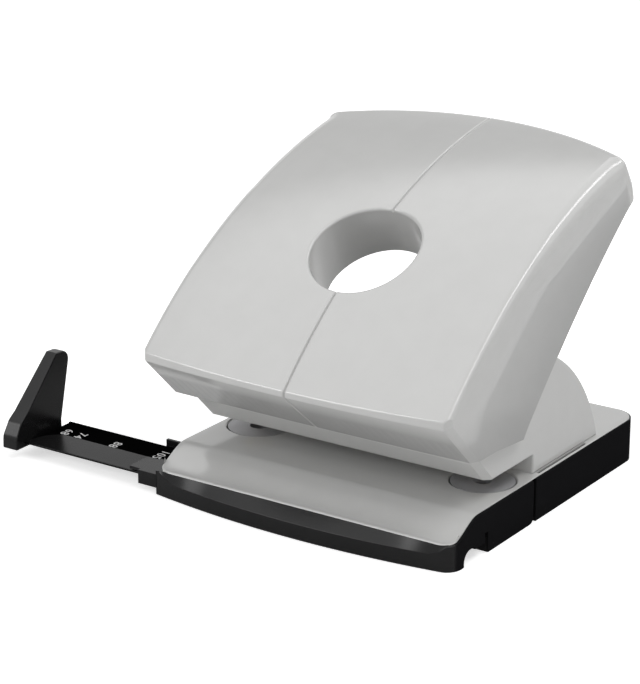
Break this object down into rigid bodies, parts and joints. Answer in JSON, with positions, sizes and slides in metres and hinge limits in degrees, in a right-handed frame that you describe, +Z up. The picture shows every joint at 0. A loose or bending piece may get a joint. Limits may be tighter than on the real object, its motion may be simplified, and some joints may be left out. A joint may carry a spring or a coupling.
{
  "type": "two-hole desk punch",
  "caption": "Desk hole punch with a tall swinging hand lever, a paper slot, a swing-down chip tray and a sliding stop rail.",
  "frame": {"origin": "centre of the base's underside, on the middle plane between the two holes", "axes": "+X along the paper edge to the right, away from the stop rail; +Y from the paper side to the rear; +Z up"},
  "size_m": [0.1625, 0.1202, 0.1025],
  "materials": {
    "grey_plastic": "gloss",
    "black_plastic": "semi-gloss",
    "foot_rubber": "matt",
    "zinc_steel": "zinc plated",
    "hard_steel": "ground",
    "spring_steel": "bright",
    "bush_brass": "turned"
  },
  "bodies": {
    "base": {"base_pan": "black_plastic", "cover_plate": "grey_plastic", "housing": "grey_plastic", "punch_frame": "zinc_steel", "die_plate": "hard_steel", "guide_bushes": "bush_brass", "pivot_axle": "hard_steel", "axle_clips": "spring_steel", "frame_screws": "zinc_steel", "rubber_feet": "foot_rubber", "rail_holder": "black_plastic", "detent_spring": "spring_steel"},
    "tray": {"chip_tray": "black_plastic"},
    "lever": {"lever_cover": "grey_plastic", "lever_frame": "zinc_steel", "press_bar": "hard_steel", "cover_screws": "zinc_steel"},
    "punch_left": {"punch_left": "hard_steel", "collar_left": "zinc_steel", "spring_left": "spring_steel"},
    "punch_right": {"punch_right": "hard_steel", "collar_right": "zinc_steel", "spring_right": "spring_steel"},
    "rail": {"stop_rail": "black_plastic", "stop_plate": "black_plastic"}
  },
  "joints": [
    {"name": "lever_press", "type": "hinge", "parent": "base", "child": "lever", "pos_m": [0, -0.037, 0.04], "axis": [-1, 0, 0], "range_deg": [0, 23], "stiffness_Nm_per_rad": 1.5, "springref_deg": -20.05},
    {"name": "punch_left_slide", "type": "slide", "parent": "base", "child": "punch_left", "axis": [0, 0, -1], "range_m": [0, 0.0082], "deforming": ["spring_left"]},
    {"name": "punch_right_slide", "type": "slide", "parent": "base", "child": "punch_right", "axis": [0, 0, -1], "range_m": [0, 0.0082], "deforming": ["spring_right"]},
    {"name": "rail_slide", "type": "slide", "parent": "base", "child": "rail", "axis": [1, 0, 0], "range_m": [-0.044, 0.0365]},
    {"name": "tray_swing", "type": "hinge", "parent": "base", "child": "tray", "pos_m": [0, -0.0092, 0.0022], "axis": [1, 0, 0], "range_deg": [0, 55]}
  ],
  "couplings": [
    {"joint": "punch_left_slide", "follows": "lever_press", "m_per_rad": 0.020172},
    {"joint": "punch_right_slide", "follows": "lever_press", "m_per_rad": 0.020172}
  ]
}
